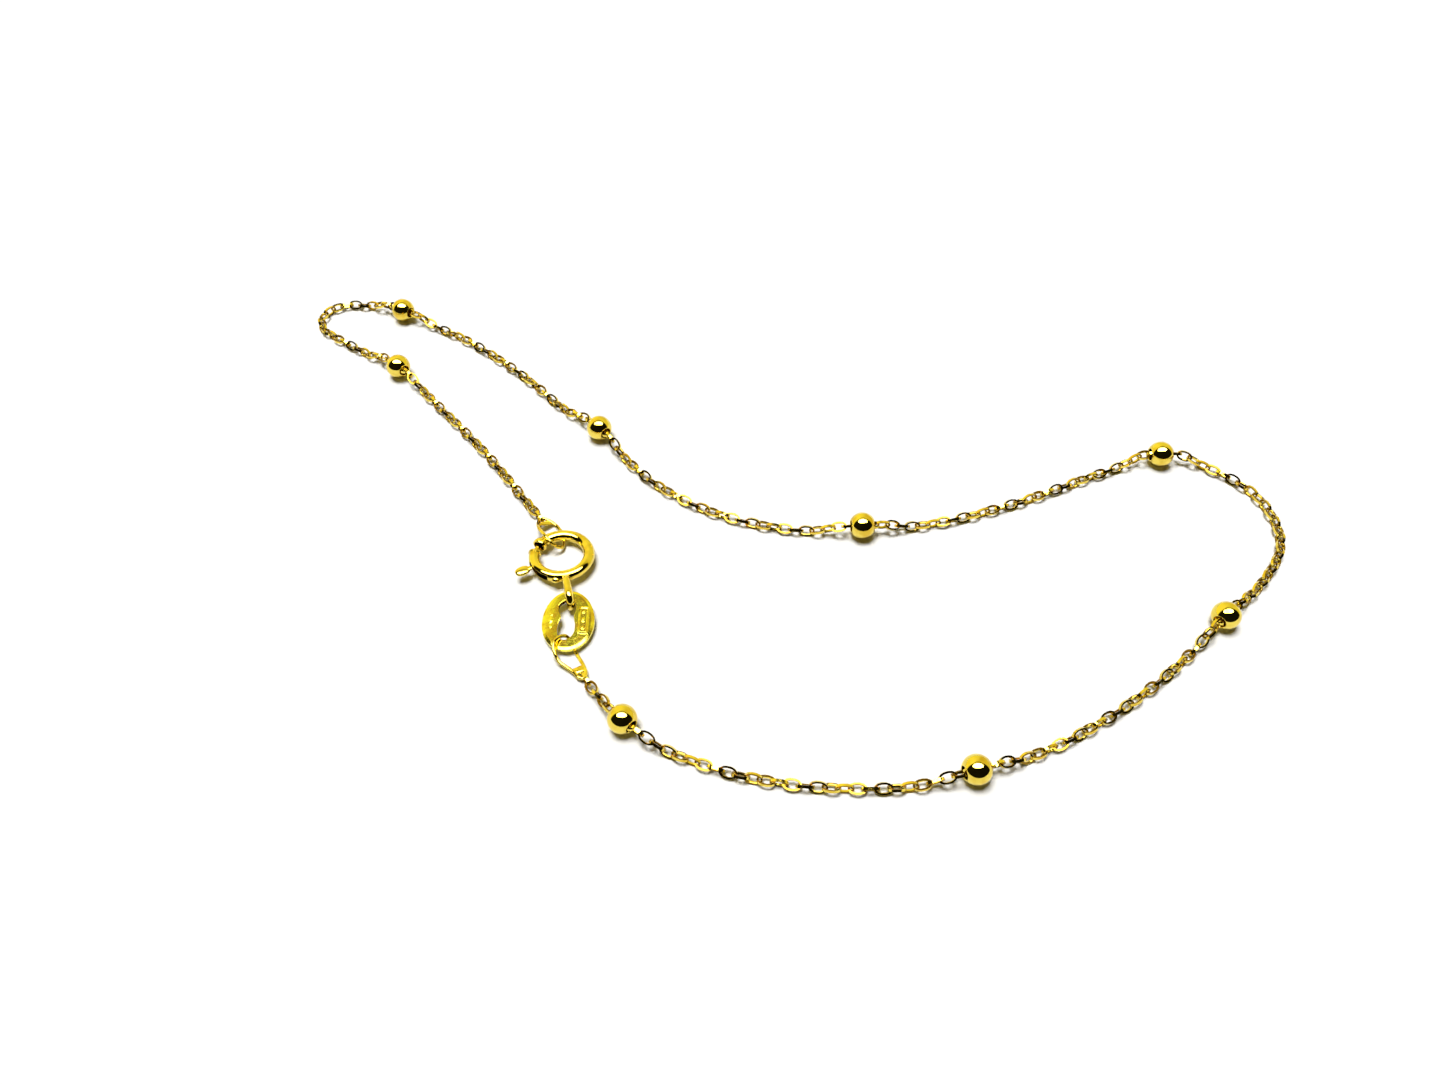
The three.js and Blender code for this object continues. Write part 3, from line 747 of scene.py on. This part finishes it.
def tail_loop():
    """The tail loop: a stadium, two half circles joined by straight runs, in the upright plane
    through the ring's axis, drawn in a round wire that swells where it is soldered on."""
    out = ring_line(1.0, TAIL["angle"])
    bend = np.linspace(-np.pi / 2, np.pi / 2, 25)
    half = TAIL["bend"] * np.stack([np.cos(bend), np.sin(bend)], axis=1) + (TAIL["straight"], 0)
    along, height = np.vstack([half, -half]).T
    line = evenly(out * (TAIL["reach"] + along)[:, None] + UP * height[:, None], 96)
    near = 1 - smooth((line @ out - RING_RADIUS - TUBE_RADIUS) / TAIL["swell_reach"])
    radii = TAIL["wire"] * (1 + TAIL["swell"] * near)
    return tube(line, radii, 28, closed=True, normal=np.cross(out, UP))


class BRACELET_OT_bolt_ring(bpy.types.Operator):
    """Add the hollow bolt ring with its collar, slot, solder and tail loop"""
    bl_idname = "bracelet.bolt_ring"
    bl_label = "Bolt ring"

    def execute(self, context):
        sizes, colours = context.scene.bracelet_clasp, context.scene.bracelet_finish
        # Thin-walled drawn tube, barrel-polished: soft bright bands with a slight ripple, and the
        # bore inside painted dark brown as painted shade
        material = gold(
            "barrel_polished_gold_tube", colours.bright, colours.deep,
            roughness=0.045, patch=1.2 * MM, grain=0.25 * MM, depth=1.2 * MICRON,
            raw_and_shaded=colours.raw_and_shaded)
        solder_at = ring_line(SOLDER["reach"], SOLDER["angle"])
        solder = lump(solder_at, SOLDER["radius"] * np.diag([1.0, 0.95, 0.85]))
        points, faces = joined([ring_tube(), tail_loop(), solder])
        # The faces inside the bore are marked to be painted dark as shade.
        from_middle = np.hypot(np.hypot(points[:, 0], points[:, 1]) - RING_RADIUS, points[:, 2])
        shaded_bore = from_middle[faces].mean(axis=1) < TUBE_RADIUS - 0.03 * MM
        add_piece("clasp_ring_tube", (turned(points, RING_TILT, RING_PLACE), faces), material,
                  "bracelet", ["clasp_ring"], crease=40, round_edge=sizes.rim,
                  dull_and_shaded=shaded_bore.astype(float))
        return {"FINISHED"}


def bolt_pin():
    """The curved pin: a round bar along the ring's circle whose radius falls to nothing over
    each end as a half circle does."""
    angles = np.linspace(*BOLT_ANGLES, 61)
    line = ring_line(RING_RADIUS, angles)
    ends = np.minimum(lengths_along(line), lengths_along(line)[::-1])
    share = np.clip(ends / BOLT_RADIUS, 0, 1)
    return tube(line, BOLT_RADIUS * np.sqrt(np.maximum(1 - (1 - share) ** 2, 1e-6)), 24)


class BRACELET_OT_bolt(bpy.types.Operator):
    """Add the bolt: its curved pin, stem and thumb tab"""
    bl_idname = "bracelet.bolt"
    bl_label = "Bolt"

    def execute(self, context):
        colours = context.scene.bracelet_finish
        # Turned and hand-polished wire with a hammered tab: rounder, wavy highlights
        material = gold(
            "hand_polished_gold_bolt", colours.bright, colours.deep,
            roughness=0.05, patch=0.8 * MM, grain=0.35 * MM, depth=10.0 * MICRON)
        out = ring_line(1.0, TAB_ANGLE)
        stem_line = out * np.linspace(RING_RADIUS, STEM["end"], 9)[:, None]
        flare = STEM["flare"] * smooth(np.linspace(0, 1, 9))
        stem = tube(stem_line, STEM["radius"] * (1 + flare), 20, flat=STEM["flat"])
        # The tab leans towards its near edge and is dished for the thumb.
        lean = math.radians(TAB["lean"])
        near = np.cross(UP, out)
        wide = near * math.cos(lean) - UP * math.sin(lean)
        up = UP * math.cos(lean) + near * math.sin(lean)
        paddle = lump(out * TAB["reach"], np.array([
            out * TAB["half_long"], wide * TAB["half_wide"], up * TAB["half_thick"],
        ]), plan=TAB["squareness"], rings=25, sides=48, dish=TAB["dish"])
        points, faces = joined([bolt_pin(), stem, paddle])
        add_piece("clasp_bolt_pin", (turned(points, RING_TILT, RING_PLACE), faces), material,
                  "bolt", ["clasp_bolt"])
        return {"FINISHED"}


def tag_relief(across, along, height):
    """Height of the tag's stamping over its flat face, from sizes in millimetres: a panel
    with round corners, a narrow rim round it, and small domed bosses. Each edge eases over a few
    hundredths of a millimetre. Beyond is the distance outside a rounded rectangle: the length
    of (x, y) past its corner's middle, less the corner's radius."""
    x = np.abs(across - PANEL["middle"][0]) - PANEL["half"][0] + PANEL["corner"]
    y = np.abs(along - PANEL["middle"][1]) - PANEL["half"][1] + PANEL["corner"]
    outside, inside = np.hypot(np.maximum(x, 0), np.maximum(y, 0)), np.minimum(np.maximum(x, y), 0)
    beyond = outside + inside - PANEL["corner"]
    rise = 0.75 * smooth(0.5 - beyond / 0.06) + 0.5 * smooth(1 - np.abs(beyond + 0.07) / 0.06)
    for middle_x, middle_y, half_x, half_y in BOSSES:
        apart = np.hypot((across - middle_x) / half_x, (along - middle_y) / half_y)
        rise = rise + 0.8 * smooth(1.3 * (1 - apart))
    return height * rise


def tag_surface(edge, height):
    """The plate: rays from the slot's middle run from the slot's edge to the oval outline, and
    a closed section with round corners is carried round them. The stamping is added to the
    points of the upper face, and the whole plate falls away as the square of the distance
    from its long axis."""
    turn = full_turn(TAG_RAYS)
    rim = np.stack([TAG_HALF[0] * np.cos(turn), TAG_HALF[1] * np.sin(turn)], axis=1)
    middle = np.array(SLOT_MIDDLE) * MM
    bearing = np.unwrap(np.arctan2(*(rim - middle).T[::-1]))
    slot = spline(np.array(TAG_SLOT)[::-1] * MM, 24, closed=True) - middle
    slot_bearing = np.arctan2(slot[:, 1], slot[:, 0])
    order = np.argsort(slot_bearing)
    slot_reach = np.linalg.norm(slot, axis=1)[order]
    reach = np.interp(bearing, slot_bearing[order], slot_reach, period=2 * np.pi)
    hole = middle + reach[:, None] * np.stack([np.cos(bearing), np.sin(bearing)], axis=1)
    width = np.linalg.norm(rim - hole, axis=1)
    # The section: share of the way out, an offset from there, and a height
    corner = np.linspace(0, np.pi / 2, 7)
    rising, falling = edge * (1 - np.sin(corner)), edge * (1 - np.cos(corner))
    top, flat = TAG_THICK / 2, np.linspace(0, 1, 41)
    shoulder = top - TAG_BEVEL["drop"]
    section = np.concatenate([
        np.stack([0 * corner, falling, top - rising], axis=1),
        np.stack([flat, edge * (1 - flat) - TAG_BEVEL["width"] * flat, top + 0 * flat], axis=1)[1:],
        np.stack([1 + 0 * corner, -rising, shoulder - falling], axis=1),
    ])
    below = section[::-1] * (1, 1, -1)
    section = np.concatenate([section, below[:8], below[8:-7][::4], below[-7:]])
    share = section[None, :, 0] + section[None, :, 1] / width[:, None]
    flat_points = hole[:, None] + (rim - hole)[:, None] * share[..., None]
    lift = np.broadcast_to(section[:, 2], share.shape).copy()
    stamped = section[:, 2] > top - 0.2 * edge
    across, along = flat_points[:, stamped, 0] / MM, flat_points[:, stamped, 1] / MM
    lift[:, stamped] += tag_relief(across, along, height)
    lift -= math.tan(TAG_CROWN) / (2 * TAG_HALF[0]) * flat_points[..., 0] ** 2
    points = np.concatenate([flat_points, lift[..., None]], axis=2).reshape(-1, 3)
    return outward((points, grid_faces(TAG_RAYS, len(section), close_rows=True)))


class BRACELET_OT_tag(bpy.types.Operator):
    """Add the oval tag with its waisted slot, plain panel and bosses"""
    bl_idname = "bracelet.tag"
    bl_label = "Tag"

    def execute(self, context):
        sizes, colours = context.scene.bracelet_clasp, context.scene.bracelet_finish
        # Struck from sheet and lightly buffed: flat, a little satin, with die texture in it, and
        # the slot's wall painted darker as painted shade
        material = gold(
            "struck_gold_sheet", colours.lemon, colours.deep,
            roughness=0.09, patch=0.6 * MM, grain=0.14 * MM, depth=5.0 * MICRON,
            raw_and_shaded=colours.raw_and_shaded)
        points, faces = tag_surface(sizes.edge, sizes.relief)
        # The section's first and last faces are those of the slot's wall, which is painted dark as
        # shade: fully on the wall itself and less on the rounded corners beside it.
        slot_wall_shade = np.zeros(len(faces) // TAG_RAYS)
        slot_wall_shade[-1] = 1.0
        slot_wall_shade[[0, 1, -2, -3]] = 0.6
        add_piece("tag_plate", (turned(points, TAG_TILT, TAG_PLACE), faces), material,
                  "bracelet", ["tag"], crease=50, dull_and_shaded=np.tile(slot_wall_shade, TAG_RAYS))
        return {"FINISHED"}


def solder_web(line, start, end, thick):
    """The web of solder between the two strands of a closed line, between two distances from
    its narrow end. Its section is an ellipse from strand to strand, and its thickness falls
    to nothing at both ends as a half circle does."""
    share = np.linspace(0, 1, 13)
    one = at_lengths(line, start + share * (end - start))
    other = at_lengths(line[::-1], start + share * (end - start))
    middle, half = (one + other) / 2, (one - other) / 2
    back = unit(middle[-1] - middle[0])
    over = unit(np.cross(back, half))
    swell = thick * np.sqrt(np.maximum(1 - (2 * share - 1) ** 2, 0))
    points = middle[:, None] + ellipses(half, over * swell[:, None], full_turn(24))
    return points.reshape(-1, 3), grid_faces(len(share), 24)


def jump_ring(rows, wire, web):
    """A jump ring: a round wire carried round a closed curve, and the web of solder between
    its two strands at its narrow end."""
    curve = spline(np.array(rows) * MM + CENTRING, 16, closed=True)
    line = evenly(curve, 160)
    # The way across the ring, in which its points are least spread
    normal = np.linalg.svd(line - line.mean(axis=0), full_matrices=False)[2][2]
    solder = solder_web(np.vstack([curve, curve[:1]]), *web, 0.9 * wire)
    return joined([tube(line, wire, 14, closed=True, normal=normal), solder])


class BRACELET_OT_jump_rings(bpy.types.Operator):
    """Add the two thin jump rings at the ends of the chain"""
    bl_idname = "bracelet.jump_rings"
    bl_label = "Jump rings"

    def execute(self, context):
        sizes, colours = context.scene.bracelet_clasp, context.scene.bracelet_finish
        # Drawn wire, bent, pinched shut and soldered: bright lines along it
        material = gold(
            "drawn_gold_wire", colours.bright, colours.deep,
            roughness=0.05, patch=0.8 * MM, grain=0.1 * MM, depth=0.6 * MICRON)
        for node, rows in (("tag_jump_ring", TAG_JUMP), ("clasp_jump_ring", RING_JUMP)):
            add_piece(node + "_wire", jump_ring(rows, sizes.wire, JUMP_WEB), material,
                      "bracelet", [node])
        return {"FINISHED"}


def add_room(scene, brightness):
    """The room that the gold mirrors: a cream wall behind the bracelet, brighter low down and
    on the left, and dark on the viewer's side above the surface, with a soft change over
    from one to the other. The backdrop itself is plain white."""
    world = bpy.data.worlds.new("pale_room")
    scene.world = world
    world.use_nodes = True
    tree = world.node_tree
    tree.nodes.clear()
    way = add_node(tree, "ShaderNodeTexCoord").outputs["Generated"]
    # Behind is the side of the plane through X that leans 22 degrees back from upright.
    lean = math.radians(22)
    behind = add_node(tree, "ShaderNodeVectorMath", {
        0: way, 1: (0.0, math.cos(lean), -math.sin(lean)),
    }, operation="DOT_PRODUCT")
    light = add_node(tree, "ShaderNodeMapRange", {
        "Value": behind.outputs["Value"], "From Min": -0.04, "From Max": 0.05,
        "To Min": 0.008, "To Max": brightness,
    }, interpolation_type="SMOOTHSTEP")
    axes = add_node(tree, "ShaderNodeSeparateXYZ", {0: way})
    sideways = add_node(tree, "ShaderNodeMapRange", {
        "Value": axes.outputs["X"], "From Min": -0.4, "From Max": 0.4,
        "To Min": 1.1, "To Max": 0.85,
    }, interpolation_type="SMOOTHSTEP")
    upwards = add_node(tree, "ShaderNodeMapRange", {
        "Value": axes.outputs["Z"], "From Min": 0.78, "From Max": 0.9,
        "To Min": 1.1, "To Max": 0.45,
    }, interpolation_type="SMOOTHSTEP")
    path = add_node(tree, "ShaderNodeLightPath")
    # Matt surfaces get little of the room's light, so that shadows stay deep where pieces touch.
    share = add_node(tree, "ShaderNodeMath", {
        0: path.outputs["Is Diffuse Ray"], 1: -0.92, 2: 1.0,
    }, operation="MULTIPLY_ADD")
    strength = sideways.outputs["Result"]
    for factor in (upwards, light, share):
        strength = add_node(tree, "ShaderNodeMath", {
            0: strength, 1: factor.outputs[0],
        }, operation="MULTIPLY").outputs["Value"]
    mirrored = add_node(tree, "ShaderNodeBackground", {
        "Color": linear("#FFF48C"), "Strength": strength,
    })
    seen = add_node(tree, "ShaderNodeBackground", {"Color": linear("#FFFFFF"), "Strength": 1.0})
    mixed = add_node(tree, "ShaderNodeMixShader", {
        0: path.outputs["Is Camera Ray"], 1: mirrored.outputs[0], 2: seen.outputs[0],
    })
    add_node(tree, "ShaderNodeOutputWorld", {"Surface": mixed.outputs[0]})


def add_light(name, brightness, place, size):
    """An oval area light that faces down. Its watts are its brightness times pi times its
    area, which is pi times its two sides over 4."""
    light = bpy.data.lights.new(name, "AREA")
    light.shape = "ELLIPSE"
    light.size, light.size_y = size
    light.energy = brightness * math.pi * (math.pi / 4) * size[0] * size[1]
    lamp = add_object(name, light)
    lamp.location = place
    return lamp


class BRACELET_OT_stage(bpy.types.Operator):
    """Add the floor, the soft light, the room and the camera"""
    bl_idname = "bracelet.stage"
    bl_label = "Stage"

    def execute(self, context):
        sizes, scene = context.scene.bracelet_stage, context.scene
        scene.view_settings.view_transform = "Standard"
        corners = ((-1, -1), (1, -1), (1, 1), (-1, 1))
        mesh = bpy.data.meshes.new("floor")
        mesh.from_pydata([(x * FLOOR_HALF, y * FLOOR_HALF, -FLOOR_DROP) for x, y in corners],
                         [], [(0, 1, 2, 3)])
        material = bpy.data.materials.new("matt_white_card")
        material.use_nodes = True
        shader = material.node_tree.nodes["Principled BSDF"]
        shader.inputs["Base Color"].default_value = tone(sizes.floor)
        shader.inputs["Roughness"].default_value = 0.9
        shader.inputs["Specular IOR Level"].default_value = 0.1
        mesh.materials.append(material)
        add_object("floor", mesh)

        panel = add_light("overhead_panel", sizes.overhead, **PANEL_LIGHT)
        panel.visible_diffuse = False
        lamp = add_light("overhead_lamp", sizes.lamp, **FLOOR_LIGHT)
        lamp.visible_glossy = False

        lens = bpy.data.cameras.new("camera")
        lens.lens = CAMERA_LENS
        lens.clip_start = 0.001
        camera = add_object("camera", lens)
        camera.location = CAMERA_PLACE
        aim = CAMERA_AIM - CAMERA_PLACE
        camera.rotation_euler = (math.atan2(math.hypot(*aim[:2]), -aim[2]), 0.0, 0.0)
        scene.camera = camera
        add_room(scene, sizes.room)
        return {"FINISHED"}


class BRACELET_PT_sidebar(bpy.types.Panel):
    """The bracelet's pieces and settings."""
    bl_idname = "BRACELET_PT_sidebar"
    bl_label = "Beaded bracelet"
    bl_space_type = "VIEW_3D"
    bl_region_type = "UI"
    bl_category = "Bracelet"

    def draw(self, context):
        for operator in OPERATORS:
            self.layout.operator(operator.bl_idname)
        for name, settings in SETTINGS.items():
            box = self.layout.box()
            for field in settings.__annotations__:
                box.prop(getattr(context.scene, name), field)


OPERATORS = (
    BRACELET_OT_stage, BRACELET_OT_beads, BRACELET_OT_chain, BRACELET_OT_bolt_ring,
    BRACELET_OT_bolt, BRACELET_OT_tag, BRACELET_OT_jump_rings,
)
SETTINGS = {
    "bracelet_beads": BraceletBeads,
    "bracelet_chain": BraceletChain,
    "bracelet_clasp": BraceletClasp,
    "bracelet_finish": BraceletFinish,
    "bracelet_stage": BraceletStage,
}


def register():
    for group in (*SETTINGS.values(), *OPERATORS, BRACELET_PT_sidebar):
        bpy.utils.register_class(group)
    for name, group in SETTINGS.items():
        setattr(bpy.types.Scene, name, bpy.props.PointerProperty(type=group))


def unregister():
    for name in SETTINGS:
        delattr(bpy.types.Scene, name)
    for group in (BRACELET_PT_sidebar, *reversed(OPERATORS), *reversed(SETTINGS.values())):
        bpy.utils.unregister_class(group)


def main():
    """Builds the whole scene."""
    register()
    for operator in OPERATORS:
        getattr(bpy.ops.bracelet, operator.bl_idname.split(".")[1])()


if __name__ == "__main__":
    main()
